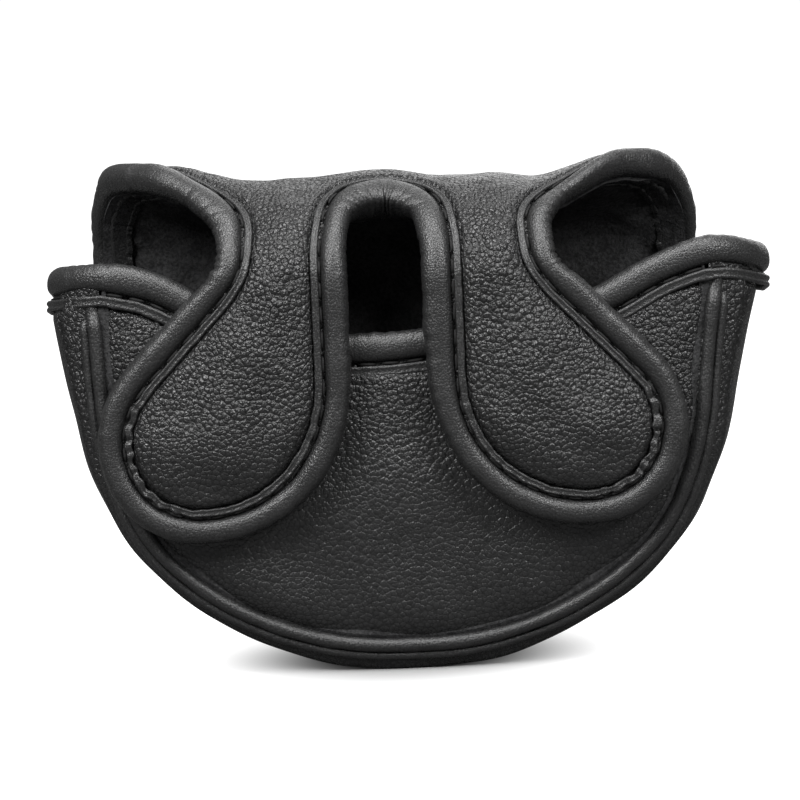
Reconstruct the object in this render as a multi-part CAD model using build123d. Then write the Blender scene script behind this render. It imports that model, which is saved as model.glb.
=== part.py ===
"""Mallet putter head cover: a padded D-shaped pouch with a hood and two magnetic flaps.

Frame: millimetres, +Z up, +X to the right as the front is seen, -Y towards the front.
The origin is under the middle of the cover, on the surface that it stands on.

Every wall is a stack of leather, foam and plush lining. The pouch is the fixed body. The hood is
the top of the back leather, which tilts back on a living hinge. The two flaps hang from the
hood's front edge, either side of the shaft slot, and lift on living hinges of their own.
"""

import os
from math import cos, degrees, radians, sin

from build123d import *

# ---------------------------------------------------------------- driving dimensions (mm)
LEATHER = 1.4
FOAM = 3.0
LINING = 1.6
WALL = LEATHER + FOAM + LINING
LAYERS = {  # how deep each layer starts and ends below the outer surface
    "leather": (0.0, LEATHER),
    "foam": (LEATHER, LEATHER + FOAM),
    "lining": (LEATHER + FOAM, WALL),
}
FIT_GAP = 0.05  # between a panel's edge and the part it is sewn against
MOVING_GAP = 0.3  # between parts that move apart

BACK_FACE = 24.0  # outer face of the back panel, along +Y
FRONT_FACE = 17.3  # outer face of the front panel, along -Y
FLAP_FACE = 24.0  # outer face of a closed flap, along -Y

# Side outline of the pouch at its widest: a short flat to stand on, then three tangent arcs
# each side (radius, direction of travel where the arc ends) and a straight slanted side.
FLAT_HALF = 3.0
SIDE_ARCS = [(70.0, 41.0), (42.0, 64.5), (82.0, 78.7)]
SIDE_TOP_Z = 90.0
BULGE = 5.0  # how far the gusset rounds out past the front and back seams

PIPING_R = 1.4
PIPING_CORD_R = 0.8
PIPING_CHANNEL = 1.5  # half the width of the channel that the piping sits in

ROLL_R = 3.0  # padded edge binding
ROLL_CORE_R = 1.8
ROLL_ROOM = ROLL_R + FIT_GAP

# Centre line of the mouth binding seen from the front: (x, z) of its right half, and round
# the top of the gusset to the back seam.
MOUTH_MIDDLE = (18.0, 62.8)
MOUTH_SHOULDER = (48.0, 73.6)
MOUTH_CORNER = (61.0, 78.6)
MOUTH_SIDE_X = 67.8
MOUTH_BACK_Y = 12.5
MOUTH_DROP = 3.35  # from the binding's centre line down to the edge of the walls under it

HOOD_Z = 75.5  # height of the hood's axis, which is also the line that it tilts on
HOOD_R = BACK_FACE
HOOD_MID_R = HOOD_R - WALL / 2
HOOD_SIDE_X = 58.6  # centre line of the binding on the hood's side edges
# Centre line of the hood's side binding on the half tube: (x, degrees round from the back).
HOOD_SIDE = [
    (HOOD_SIDE_X, 6),
    (HOOD_SIDE_X, 20),
    (57.8, 42),
    (54.5, 66),
    (49.5, 85),
    (42.5, 100),
    (36.2, 114.5),
    (32.0, 130),
    (30.2, 147.5),
    (30.2, 165),
]
NECK_X = HOOD_SIDE[-1][0]

HINGE_Z = 83.0  # fold line of the flaps
SLOT_HALF = 10.2  # centre line of the slot's binding
SLOT_TOP_ANGLE = 118.0  # where the slot's binding turns over, in degrees round from the back

LOBE_BOTTOM_Z = 30.4
LOBE_HEEL_R = 27.0  # round corner beside the slot
LOBE_TIP_X = 78.3  # where the lobe's bottom and outer edges would meet
LOBE_TIP_R = 16.8  # round corner that takes that point off
LOBE_NECK_Z = 79.5  # where the lobe's outer edge turns up into the neck
LOBE_NECK_R = 10.0

MAGNET_R = 8.0
MAGNET_T = 2.0
MAGNET_X = 36.0
MAGNET_Z = 48.0

STITCH_PITCH = 4.6
STITCH_LENGTH = 3.4
STITCH_WIDTH = 0.6
STITCH_HEIGHT = 0.3
STITCH_INSET = 3.4  # from a binding's centre line to its row of stitches

FAR = 200.0  # longer than anything here


# ---------------------------------------------------------------- outlines
def side_points(inset):
    """Corners (x, z) between the arcs of the pouch outline's right half, moved in by inset, with
    the middle point of each arc between them."""
    x, z, start = FLAT_HALF, inset, 0.0
    points = [(x, z)]
    for radius, end in SIDE_ARCS:
        r = radius - inset
        for angle in ((start + end) / 2, end):
            points.append(
                (
                    x + r * (sin(radians(angle)) - sin(radians(start))),
                    z + r * (cos(radians(start)) - cos(radians(angle))),
                )
            )
        x, z = points[-1]
        start = end
    rise = SIDE_TOP_Z - z
    points.append((x + rise / sin(radians(start)) * cos(radians(start)), SIDE_TOP_Z))
    return points


def pouch_path(inset, y):
    """The pouch outline as an open wire, from its top right round the bottom to its top left."""
    right = [Vector(x, y, z) for x, z in side_points(inset)]
    left = [Vector(-p.X, p.Y, p.Z) for p in right]
    edges = [Line(right[-1], right[-2])]
    for k in range(len(SIDE_ARCS) * 2, 0, -2):
        edges.append(ThreePointArc(right[k], right[k - 1], right[k - 2]))
    edges.append(Line(right[0], left[0]))
    for k in range(0, len(SIDE_ARCS) * 2, 2):
        edges.append(ThreePointArc(left[k], left[k + 1], left[k + 2]))
    edges.append(Line(left[-2], left[-1]))
    return Wire([e.edge() for e in edges])


def pouch_plate(inset, y_outer, y_inner):
    """A flat plate of the pouch's outline, moved in by inset, between two depths."""
    path = pouch_path(inset, y_outer)
    face = Face(Wire([*path.edges(), Edge.make_line(path @ 1, path @ 0)]))
    return extrude(face, y_inner - y_outer, dir=(0, 1, 0))


def xz_face(edges, y):
    """A face in the plane at depth y, inside a closed run of edges drawn in (x, z)."""
    return Face(Wire([e.moved(Location((0, y, 0))) for e in edges]))


def at(x, z, y=0.0):
    return Vector(x, y, z)


def under_mouth():
    """Everything lower than the edge of the walls under the mouth binding."""
    half = [MOUTH_MIDDLE, MOUTH_SHOULDER, MOUTH_CORNER, (FAR / 2, MOUTH_CORNER[1])]
    right = [at(x, z - MOUTH_DROP) for x, z in half]
    left = [Vector(-p.X, p.Y, p.Z) for p in reversed(right)]
    top = FilletPolyline(*left, *right, radius=8.0)
    low_right, low_left = at(FAR / 2, -FAR), at(-FAR / 2, -FAR)
    box = [
        Edge.make_line(right[-1], low_right),
        Edge.make_line(low_right, low_left),
        Edge.make_line(low_left, left[0]),
    ]
    return extrude(xz_face([*top.edges(), *box], -FAR / 2), FAR, dir=(0, 1, 0))


def below(z):
    """Everything lower than a height."""
    room = Box(FAR, FAR, FAR, align=(Align.CENTER, Align.CENTER, Align.MAX))
    return room.moved(Location((0, 0, z)))


def above(z, front_only=False):
    """Everything higher than a height, or only what is in front of the hood's axis."""
    y_align = Align.MAX if front_only else Align.CENTER
    room = Box(FAR, FAR, FAR, align=(Align.CENTER, y_align, Align.MIN))
    return room.moved(Location((0, 0, z)))


def lobe_line(side, y, z_top):
    """Centre line of a flap's binding: down beside the slot, round the lobe, up to the neck."""
    points = [
        at(side * SLOT_HALF, z_top, y),
        at(side * SLOT_HALF, LOBE_BOTTOM_Z, y),
        at(side * LOBE_TIP_X, LOBE_BOTTOM_Z, y),
        at(side * NECK_X, LOBE_NECK_Z, y),
        at(side * NECK_X, z_top, y),
    ]
    return FilletPolyline(*points, radius=[LOBE_HEEL_R, LOBE_TIP_R, LOBE_NECK_R])


def lobe_plate(side, y_outer, y_inner):
    """A flat plate that fills a flap inside its binding, up to the fold."""
    line = lobe_line(side, 0.0, HINGE_Z + 2 * ROLL_ROOM)
    outline = Wire([*line.edges(), Edge.make_line(line @ 1, line @ 0)])
    inner = Face(outline.offset_2d(-ROLL_ROOM)).moved(Location((0, y_outer, 0)))
    plate = extrude(inner, y_inner - y_outer, dir=(0, 1, 0))
    return (plate & below(HINGE_Z - MOVING_GAP)).solids()[0]


def tube(path, radius):
    """A round bar swept along a path."""
    start = path @ 0
    section = Plane(origin=start, z_dir=path % 0) * Circle(radius)
    return sweep(section, path=path).solids()[0]


# ---------------------------------------------------------------- pouch walls
def gusset_layer(outer, inner):
    """A layer of the side wall, between two depths in from its outer surface. Its section runs
    round from the front seam to the back seam, clear of the two piping channels."""
    path = pouch_path(0.0, 0.0)
    tangent = path % 0
    out = Vector(0, 1, 0).cross(tangent)
    if out.X < 0:
        out = out * -1
    plane = Plane(origin=path @ 0, x_dir=out, z_dir=tangent)
    depth_sign = 1 if plane.y_dir.Y > 0 else -1

    def box(n_low, n_high, y_low, y_high, corner):
        """A rounded box in the section's plane, with corners round a radius on its outer side."""
        shape = Rectangle(n_high - n_low, y_high - y_low, align=Align.MIN)
        shape = Location((n_low, y_low)) * shape
        if corner > 0.01:
            outer_corners = [v for v in shape.vertices() if abs(v.X - n_high) < 1e-6]
            shape = fillet(outer_corners, corner)
        return shape

    seam = -BULGE - PIPING_CHANNEL
    whole = box(-BULGE - WALL, -outer, -FRONT_FACE + outer, BACK_FACE - outer, BULGE - outer)
    hollow = box(
        -BULGE - WALL - 1, -inner, -FRONT_FACE + inner, BACK_FACE - inner, BULGE - inner
    )
    section = whole - hollow
    for y_low, y_high in (
        (-FRONT_FACE - 1, -FRONT_FACE + 2 * PIPING_CHANNEL),
        (BACK_FACE - 2 * PIPING_CHANNEL, BACK_FACE + 1),
    ):
        section -= box(-BULGE - WALL - 1, -BULGE + PIPING_CHANNEL, y_low, y_high, 0)
    # The panels reach in as far as the seam line, so the gusset stops there.
    keep = box(-BULGE, 1, -FRONT_FACE - 1, BACK_FACE + 1, 0)
    keep += box(seam, 1, -FRONT_FACE + WALL, BACK_FACE - WALL, 0)
    section = section & keep
    if depth_sign < 0:
        section = mirror(section, about=Plane.XZ)
    return sweep(plane * section, path=path)


def make_pouch():
    """Front, back and side walls, each of three layers, cut to the mouth and the hood's fold."""
    low = under_mouth()
    parts = {}
    for name, (outer, inner) in LAYERS.items():
        # Leather and foam stop at the piping channel, and the lining runs to the gusset.
        inset = BULGE + (FIT_GAP if name == "lining" else PIPING_CHANNEL + FIT_GAP)
        front = pouch_plate(inset, -FRONT_FACE + outer, -FRONT_FACE + inner)
        back = pouch_plate(inset, BACK_FACE - inner, BACK_FACE - outer)
        parts[f"front_panel_{name}"] = front & low
        parts[f"back_panel_{name}"] = back & below(HOOD_Z - MOVING_GAP)
        parts[f"gusset_{name}"] = gusset_layer(outer, inner) & low
    return parts


def make_piping():
    """Corded piping in the front and back seams of the gusset."""
    low = under_mouth()
    parts = {}
    for name, y in (("front", -FRONT_FACE + PIPING_R), ("back", BACK_FACE - PIPING_R)):
        path = pouch_path(BULGE, y)
        cord = tube(path, PIPING_CORD_R)
        parts[f"{name}_piping_cord"] = cord & low
        parts[f"{name}_piping_cover"] = (tube(path, PIPING_R) - cord) & low
    return parts


def roll(path):
    """A padded edge binding along a path: its leather cover and its foam core."""
    core = tube(path, ROLL_CORE_R)
    return tube(path, ROLL_R) - core, core


def make_mouth_binding():
    """The binding along the front panel's top edge and round the top of the gusset."""
    y_front = -FRONT_FACE + WALL / 2
    corner_z = MOUTH_CORNER[1]
    right = [
        at(*MOUTH_MIDDLE, y_front),
        at(*MOUTH_SHOULDER, y_front),
        at(*MOUTH_CORNER, y_front),
        at(MOUTH_SIDE_X, corner_z, y_front + MOUTH_SIDE_X - MOUTH_CORNER[0]),
        at(MOUTH_SIDE_X, corner_z, MOUTH_BACK_Y),
    ]
    left = [Vector(-p.X, p.Y, p.Z) for p in reversed(right)]
    path = FilletPolyline(*left, *right, radius=[7, 7, 8, 20, 20, 8, 7, 7])
    cover, core = roll(path)
    return {"mouth_binding_cover": cover, "mouth_binding_core": core}


# ---------------------------------------------------------------- hood
def on_hood(x, angle):
    """The point of the hood's middle surface at that angle round from the back."""
    turn = radians(angle)
    return Vector(x, HOOD_MID_R * cos(turn), HOOD_Z + HOOD_MID_R * sin(turn))


def slot_line():
    """Centre line of the binding round the top of the shaft slot."""
    arch = degrees(SLOT_HALF / HOOD_MID_R)
    points = [on_hood(-SLOT_HALF, 168)]
    for k in range(7):
        turn = radians(30 * k)
        points.append(
            on_hood(-SLOT_HALF * cos(turn), SLOT_TOP_ANGLE + arch * (1 - sin(turn)))
        )
    points.append(on_hood(SLOT_HALF, 168))
    return FilletPolyline(*points, radius=7.0)


def hood_side_line(side):
    """Centre line of the binding from the back seam, over the hood's corner, to a flap's neck."""
    points = [on_hood(side * x, angle) for x, angle in HOOD_SIDE]
    return FilletPolyline(*points, radius=10.0)


def prism(points):
    """A prism along Z on a closed run of (x, y) corners."""
    outline = Wire.make_polygon([Vector(x, y, 0) for x, y in points])
    return extrude(Face(outline), FAR, dir=(0, 0, 1))


def hood_layer(outer, inner, cutters):
    """A layer of the hood: a half tube round its axis, cut to the edge of its bindings."""
    ring = Cylinder(HOOD_R - outer, 2 * (HOOD_SIDE_X - ROLL_ROOM), rotation=(0, 90, 0))
    ring -= Cylinder(HOOD_R - inner, FAR, rotation=(0, 90, 0))
    layer = ring.moved(Location((0, 0, HOOD_Z))) & above(HOOD_Z)
    layer -= below(HINGE_Z + MOVING_GAP) & above(0, front_only=True)
    for cutter in cutters:
        layer -= cutter
    return max(layer.solids(), key=lambda s: s.volume)


def make_hood():
    lines = {"left": hood_side_line(-1), "right": hood_side_line(1), "slot": slot_line()}
    cutters = [tube(line, ROLL_ROOM) for line in lines.values()]
    for side in (1, -1):
        # Beyond the side binding, seen from above.
        edge = [(p.X, p.Y) for p in (on_hood(side * x, angle) for x, angle in HOOD_SIDE)]
        corners = [(side * NECK_X, -FAR), (side * FAR, -FAR), (side * FAR, FAR)]
        cutters.append(prism([*edge, *corners, (side * HOOD_SIDE_X, FAR)]))
    arch = [(p.X, p.Y) for p in (lines["slot"] @ (k / 16) for k in range(17))]
    cutters.append(prism([*arch, (SLOT_HALF, -FAR), (-SLOT_HALF, -FAR)]))
    parts = {}
    for name, (outer, inner) in LAYERS.items():
        parts[f"hood_{name}"] = hood_layer(outer, inner, cutters)
    front_end = below(HINGE_Z + MOVING_GAP) & above(0, front_only=True)
    for name, line in lines.items():
        prefix = "slot" if name == "slot" else f"hood_{name}"
        cover, core = roll(line)
        parts[f"{prefix}_binding_cover"] = cover - front_end
        parts[f"{prefix}_binding_core"] = core - front_end
    return parts


# ---------------------------------------------------------------- flaps and magnets
def magnet(side, y_outer):
    """A magnet disc lying in the foam, with its outer face at that depth."""
    disc = Cylinder(MAGNET_R, MAGNET_T, rotation=(90, 0, 0))
    return disc.moved(Location((side * MAGNET_X, y_outer + MAGNET_T / 2, MAGNET_Z)))


def magnet_pocket(side, y_outer):
    """The room that a magnet takes out of its foam."""
    disc = Cylinder(MAGNET_R + FIT_GAP, MAGNET_T + 2 * FIT_GAP, rotation=(90, 0, 0))
    return disc.moved(Location((side * MAGNET_X, y_outer + MAGNET_T / 2, MAGNET_Z)))


def make_flap(name, side):
    """One flap: leather, foam and lining inside a padded binding, with a magnet in the foam."""
    magnet_y = -FLAP_FACE + WALL - LINING - MAGNET_T - 2 * FIT_GAP
    leather = lobe_plate(side, -FLAP_FACE, -FLAP_FACE + LEATHER)
    foam = lobe_plate(side, -FLAP_FACE + LEATHER, -FLAP_FACE + LEATHER + FOAM)
    lining = lobe_plate(side, -FLAP_FACE + LEATHER + FOAM, -FLAP_FACE + WALL)
    cover, core = roll(lobe_line(side, -FLAP_FACE + WALL / 2, HINGE_Z + ROLL_R))
    under_fold = below(HINGE_Z - MOVING_GAP)
    return {
        f"{name}_flap_leather": leather,
        f"{name}_flap_foam": foam - magnet_pocket(side, magnet_y),
        f"{name}_flap_lining": lining,
        f"{name}_flap_binding_cover": cover & under_fold,
        f"{name}_flap_binding_core": core & under_fold,
        f"{name}_flap_magnet": magnet(side, magnet_y),
        f"{name}_flap_stitching": stitches(
            lobe_line(side, -FLAP_FACE, HINGE_Z + ROLL_R),
            STITCH_INSET,
            at(side * MAGNET_X, MAGNET_Z, -FLAP_FACE),
            HINGE_Z - STITCH_LENGTH,
        ),
    }


def stitches(line, inset, towards, top_z=FAR):
    """A row of thread stitches lying on the leather beside a binding, on the side of a point,
    up to a height."""
    count = int(line.length / STITCH_PITCH)
    bars = []
    for k in range(count):
        t = (k + 0.5) / count
        point, tangent = line @ t, line % t
        if point.Z > top_z:
            continue
        sideways = tangent.cross(Vector(0, 1, 0))
        if sideways.dot(towards - point) < 0:
            sideways = sideways * -1
        place = Plane(
            origin=point + sideways * inset - Vector(0, STITCH_HEIGHT / 2, 0),
            x_dir=tangent,
            z_dir=(0, -1, 0),
        )
        bars.append(place * Box(STITCH_LENGTH, STITCH_WIDTH, STITCH_HEIGHT))
    return Compound(children=bars)


def make_mouth_stitches():
    """The row of stitches that holds the mouth binding to the front panel."""
    middle, shoulder, corner = (
        at(x, z, -FRONT_FACE) for x, z in (MOUTH_MIDDLE, MOUTH_SHOULDER, MOUTH_CORNER)
    )
    right = [middle, shoulder, (shoulder + corner) * 0.5]
    left = [Vector(-p.X, p.Y, p.Z) for p in reversed(right)]
    line = FilletPolyline(*left, *right, radius=[8, 20, 20, 8])
    return stitches(line, MOUTH_DROP + STITCH_WIDTH, at(0, -FAR, -FRONT_FACE))


# ---------------------------------------------------------------- assembly
def build():
    parts = make_pouch()
    parts.update(make_piping())
    parts.update(make_mouth_binding())
    parts["mouth_stitching"] = make_mouth_stitches()
    pouch_magnet_y = -FRONT_FACE + LEATHER + FIT_GAP
    for name, side in (("left", -1), ("right", 1)):
        parts[f"pouch_{name}_magnet"] = magnet(side, pouch_magnet_y)
        parts["front_panel_foam"] -= magnet_pocket(side, pouch_magnet_y)
        parts.update(make_flap(name, side))
    parts.update(make_hood())
    return parts


os.makedirs("parts", exist_ok=True)
for node, shape in build().items():
    export_step(shape, f"parts/{node}.step")
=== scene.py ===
"""Black leather head cover for a mallet putter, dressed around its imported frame.

The cover's walls are drawn on flat patterns, as a pattern cutter would, and then bent: the back,
the hood and the two flaps are one pattern, and the front, the gusset and the mouth's edge have
their own. A pattern's third number is the height off the middle of the padded wall. Shape
functions work in millimetres, and meshes are made in metres.
"""

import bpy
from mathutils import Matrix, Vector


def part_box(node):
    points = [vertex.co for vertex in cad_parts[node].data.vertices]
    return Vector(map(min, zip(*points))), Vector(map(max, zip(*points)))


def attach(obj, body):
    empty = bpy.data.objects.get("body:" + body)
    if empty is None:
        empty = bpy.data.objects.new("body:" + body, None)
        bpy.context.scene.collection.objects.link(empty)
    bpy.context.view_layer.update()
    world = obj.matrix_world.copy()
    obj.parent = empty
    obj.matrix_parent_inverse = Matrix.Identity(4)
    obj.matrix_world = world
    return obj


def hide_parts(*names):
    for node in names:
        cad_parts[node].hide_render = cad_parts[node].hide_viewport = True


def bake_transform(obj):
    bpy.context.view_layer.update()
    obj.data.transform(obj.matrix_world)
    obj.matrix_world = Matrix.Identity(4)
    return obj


bl_info = {
    "name": "Mallet Putter Head Cover",
    "version": (1, 0, 0),
    "blender": (4, 5, 0),
    "location": "View3D > Sidebar > Head Cover",
    "description": "Builds a padded leather putter head cover around its frame",
    "category": "Add Mesh",
}

from math import cos, pi, radians, sin, sqrt, tan

import bmesh
import bpy
import numpy as np
from bpy.props import FloatProperty, FloatVectorProperty, IntProperty, PointerProperty
from mathutils import Matrix, Vector

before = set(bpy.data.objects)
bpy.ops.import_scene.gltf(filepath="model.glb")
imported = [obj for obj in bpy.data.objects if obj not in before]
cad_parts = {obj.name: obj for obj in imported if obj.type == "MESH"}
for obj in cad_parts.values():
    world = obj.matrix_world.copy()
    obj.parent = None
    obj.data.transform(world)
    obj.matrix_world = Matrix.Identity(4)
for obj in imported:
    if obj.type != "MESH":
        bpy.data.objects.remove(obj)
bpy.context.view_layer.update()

MM = 0.001


def low(node):
    """Lowest corner of a CAD node, in millimetres."""
    return np.array(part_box(node)[0]) / MM


def high(node):
    """Highest corner of a CAD node, in millimetres."""
    return np.array(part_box(node)[1]) / MM


# Places that the frame fixes, in millimetres.
HOOD_Z = low("hood_leather")[2]
BACK_FACE = high("back_panel_leather")[1]
FRONT_FACE = -low("front_panel_leather")[1]
WALL = BACK_FACE - low("back_panel_lining")[1]
HALF_WALL = WALL / 2
MID_R = BACK_FACE - HALF_WALL
FRONT_MID = FRONT_FACE - HALF_WALL
PIPING_Y = -high("front_piping_cord")[1] + (high("front_piping_cord") - low("front_piping_cord"))[1] / 2
FRONT_SEAM, BACK_SEAM = -PIPING_Y, BACK_FACE - (FRONT_FACE - PIPING_Y)
BACK_T = HOOD_Z + MID_R * pi  # on the upper pattern, where the hood's curve meets the back
BACK_END = BACK_T + HOOD_Z  # and where the back reaches the ground

# Side outline of the pouch at its widest: half the flat that it stands on, then tangent arcs
# (radius, direction of travel where the arc ends) and a straight slanted side.
FLAT_HALF = 3.0
SIDE_ARCS = [(70.0, 41.0), (42.0, 64.5), (82.0, 78.7)]
SIDE_TOP_Z = 75.2

# Centre line of the edge binding on the upper pattern, for the right half: (x, distance up the
# front and over the hood). It runs from the top of the shaft slot, down beside the slot, round
# the flap, up to the neck, and over the hood's corner to the back seam.
SLOT_HALF = 10.2
SLOT_TOP = 102.2
LOBE_BOTTOM = 30.4
EDGE_POINTS = [
    (0.0, SLOT_TOP),
    (4.6, SLOT_TOP),
    (8.8, 95.6),
    (SLOT_HALF, 85.0),
    (SLOT_HALF, LOBE_BOTTOM),
    (78.3, LOBE_BOTTOM),
    (30.6, 79.0),
    (29.6, 93.0),
    (35.0, 99.5),
    (44.0, 106.2),
    (54.3, 114.0),
    (58.4, 128.0),
    (58.9, BACK_T + 2.5),
]
EDGE_RADII = [7.2, 14.0, 24.0, 27.0, 16.8, 12.0, 12.0, 12.0, 14.0, 14.0, 20.0]
SPLIT_T = 88.0  # the flaps' pieces join the hood's pieces here

# Centre line of the mouth's binding: (distance round from the middle of the front, height).
MOUTH_CORNER_X = 61.0
MOUTH_SIDE_X = 68.0
MOUTH_POINTS = [
    (0.0, 62.9),
    (18.0, 63.4),
    (38.0, 69.6),
    (49.0, 75.6),
    (59.0, 77.9),
    (70.0, 76.6),
    (84.0, 74.6),
    (106.0, 74.2),
]
MOUTH_RADII = [30.0, 25.0, 18.0, 14.0, 20.0, 20.0]

# Places across the binding, from its centre line in towards the leather.
ROLL_SIDE = 2.5
STITCH_AT = 2.72
HEM_AT = 3.65
CREASE_AT = 4.45

# Heights off the middle of the wall.
ROLL_HEIGHT = 2.85
ROLL_CENTRE = 0.2
HEM_HEIGHT = 2.2
STITCH_HEIGHT = 1.98

GRID = 0.7  # spacing of the leather's mesh
LEATHER_THICKNESS = 1.3
SIDES = (("left", -1), ("right", 1))


# ---------------------------------------------------------------- settings
def length_setting(name, description, metres):
    return FloatProperty(name=name, description=description, default=metres, unit="LENGTH")


def colour_setting(name, description, colour):
    return FloatVectorProperty(name=name, description=description, default=colour, subtype="COLOR")


class HeadCoverSizes(bpy.types.PropertyGroup):
    """Sizes that change the cover's looks and not its frame."""

    hood_sag: length_setting("Hood Sag", "How far the hood sinks between its corners", 0.0051)
    crown: length_setting("Flap Crown", "How far the leather rises from its hem", 0.0025)
    piping_radius: length_setting("Piping Radius", "Radius of the corded piping", 0.00138)
    stitch_pitch: length_setting("Stitch Pitch", "Distance from one stitch to the next", 0.0046)
    stitch_length: length_setting("Stitch Length", "Length of thread that shows", 0.0034)
    thread_radius: length_setting("Thread Radius", "Radius of the thread", 0.00031)
    grain_size: length_setting("Grain Size", "Width of one pebble of the leather", 0.00098)
    seed: IntProperty(name="Seed", description="Start of every random draw", default=7)


class HeadCoverColours(bpy.types.PropertyGroup):
    """Colours of the finishes."""

    leather: colour_setting("Leather", "Pebbled leather", (0.0110, 0.0110, 0.0112))
    binding: colour_setting("Binding", "Smooth leather of the edges", (0.0165, 0.0165, 0.0167))
    lining: colour_setting("Lining", "Plush lining", (0.026, 0.026, 0.0265))
    thread: colour_setting("Thread", "Stitching", (0.006, 0.006, 0.006))


def sizes():
    return bpy.context.scene.head_cover_sizes


def colours():
    return bpy.context.scene.head_cover_colours


# ---------------------------------------------------------------- lines on a pattern
def length_along(line):
    """Distance from a line's start to each of its points."""
    gaps = np.linalg.norm(np.diff(line, axis=0), axis=1)
    return np.concatenate([[0], np.cumsum(gaps)])


def resample(points, step):
    """The same line with points evenly spaced."""
    points = np.asarray(points, float)
    along = length_along(points)
    count = max(2, int(round(along[-1] / step)) + 1)
    at = np.linspace(0, along[-1], count)
    return np.stack([np.interp(at, along, points[:, k]) for k in range(points.shape[1])], 1)


def rounded(points, radii, step=0.5):
    """A line through points with its corners rounded by arcs, evenly spaced."""
    points = [np.array(p, float) for p in points]
    line = [points[0]]
    for before, corner, after, radius in zip(points, points[1:], points[2:], radii):
        a = (before - corner) / np.linalg.norm(before - corner)
        b = (after - corner) / np.linalg.norm(after - corner)
        half = np.arccos(np.clip(a @ b, -1, 1)) / 2
        reach = radius / tan(half)
        centre = corner + (a + b) / np.linalg.norm(a + b) * radius / sin(half)
        first, last = corner + a * reach - centre, corner + b * reach - centre
        turn = np.arccos(np.clip(first @ last / radius**2, -1, 1))
        for k in range(13):
            u = k / 12
            line.append(centre + (first * sin((1 - u) * turn) + last * sin(u * turn)) / sin(turn))
    line.append(points[-1])
    return resample(line, step)


def relaxed(line, passes):
    """The line with its changes of curvature spread out."""
    line = line.copy()
    for _ in range(passes):
        line[1:-1] = (line[:-2] + 2 * line[1:-1] + line[2:]) / 4
    return line


def mirrored(line):
    """The other half of a line, from its far end back to the middle."""
    return line[::-1] * np.array([-1, 1])


def sideways(line):
    """Unit vectors across a line, on its left as it runs."""
    along = np.gradient(line, axis=0)
    along /= np.linalg.norm(along, axis=1)[:, None]
    return np.stack([-along[:, 1], along[:, 0]], 1)


def curvature(line):
    """Turning per millimetre of a line, above 0 where it turns left."""
    along = np.gradient(line, axis=0)
    length = np.linalg.norm(along, axis=1)
    angle = np.unwrap(np.arctan2(along[:, 1], along[:, 0]))
    return np.gradient(angle) / np.maximum(length, 1e-9)


def distance(a, b, line):
    """Distance of each point to a line, and the nearest sample's index."""
    points = np.stack([a, b], 1)
    near = np.full(len(points), 1e9)
    index = np.zeros(len(points), int)
    for start in range(0, len(points), 4000):
        block = points[start : start + 4000]
        gap = ((block[:, None, :] - line[None, :, :]) ** 2).sum(2)
        index[start : start + 4000] = gap.argmin(1)
        near[start : start + 4000] = np.sqrt(gap.min(1))
    return near, index


def inside(a, b, outline):
    """Which points lie inside a closed outline."""
    result = np.zeros(len(a), bool)
    x1, y1 = outline[:, 0], outline[:, 1]
    x2, y2 = np.roll(x1, -1), np.roll(y1, -1)
    for k in range(len(outline)):
        crosses = (y1[k] > b) != (y2[k] > b)
        if y1[k] != y2[k]:
            edge = (x2[k] - x1[k]) * (b - y1[k]) / (y2[k] - y1[k]) + x1[k]
            result ^= crosses & (a < edge)
    return result


def smooth(value, start, end):
    """0 before start, 1 after end, and a smooth step between."""
    t = np.clip((value - start) / (end - start), 0, 1)
    return t * t * (3 - 2 * t)


def waves(a, b, length, seed, stretch=1.0, count=11):
    """Gentle random swell from about -1 to 1, with crests about that length apart."""
    draw = np.random.default_rng(seed)
    total = np.zeros(np.broadcast(a, b).shape)
    for _ in range(count):
        turn, phase = draw.uniform(0, 2 * pi, 2)
        size = 2 * pi / (length * draw.uniform(0.7, 1.5))
        total += np.sin(size * (a * cos(turn) * stretch + b * sin(turn)) + phase)
    return total / sqrt(count * 0.8)


# ---------------------------------------------------------------- surfaces
# The padding stands a little taller than the flat pattern, and the cover leans: the flaps lie
# a little left of the frame's middle and the pouch a little right of it.
STAND = 1.014


def hood_height(x):
    """Share of its full height that the hood keeps at that place across."""
    sag = sizes().hood_sag / MM + 0.7 * np.tanh(x / 12) + 1.0 * np.exp(-(((x + 20) / 8) ** 2))
    open_part = 1 - smooth(np.abs(x), 28.0, 47.0)
    dip = open_part * (sag - 1.5 * np.exp(-((x / 11) ** 2))) + 0.9 * np.exp(-(((x - 38) / 6) ** 2))
    return 1 - dip / BACK_FACE


def upper_lean(b):
    """How far the upper pattern leans to the right, by the distance up and over."""
    return -1.2 + 0.9 * smooth(b, 95.0, 130.0) + 1.4 * smooth(b, 138.0, 162.0)


def pouch_lean(z):
    """How far the pouch leans to the right at some height."""
    return 1.1 + 0.9 * smooth(z, 52.0, 80.0)


def upper(a, b, n):
    """The back, hood and flaps: a across, b up the front and over, n outwards."""
    turn = np.clip((b - HOOD_Z) / MID_R, 0, pi)
    r = MID_R + n
    rise = hood_height(a)
    y = -r * np.cos(turn)
    z = HOOD_Z + r * np.sin(turn) * rise
    z = z + np.minimum(b - HOOD_Z, 0) - np.maximum(b - BACK_T, 0)
    # The hood's corners have been pushed out of shape in use, and the left flap hangs lower.
    spread = smooth(b, 98.0, 118.0) * (1 - smooth(b, BACK_T + 4, BACK_T + 40))
    left, right = spread * smooth(-a, 38.0, 58.0), spread * smooth(a, 34.0, 54.0)
    z = z + 1.3 * left - 0.8 * right - 0.9 * (a < 0) * smooth(62 - b, 0, 30)
    return np.stack([a + upper_lean(b) - 0.8 * left + 1.2 * right, y, z * STAND], 1)


def front(a, b, n):
    """The front panel: a across, b up, n outwards."""
    return np.stack([a + pouch_lean(b), -(FRONT_MID + n), b * STAND], 1)


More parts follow.
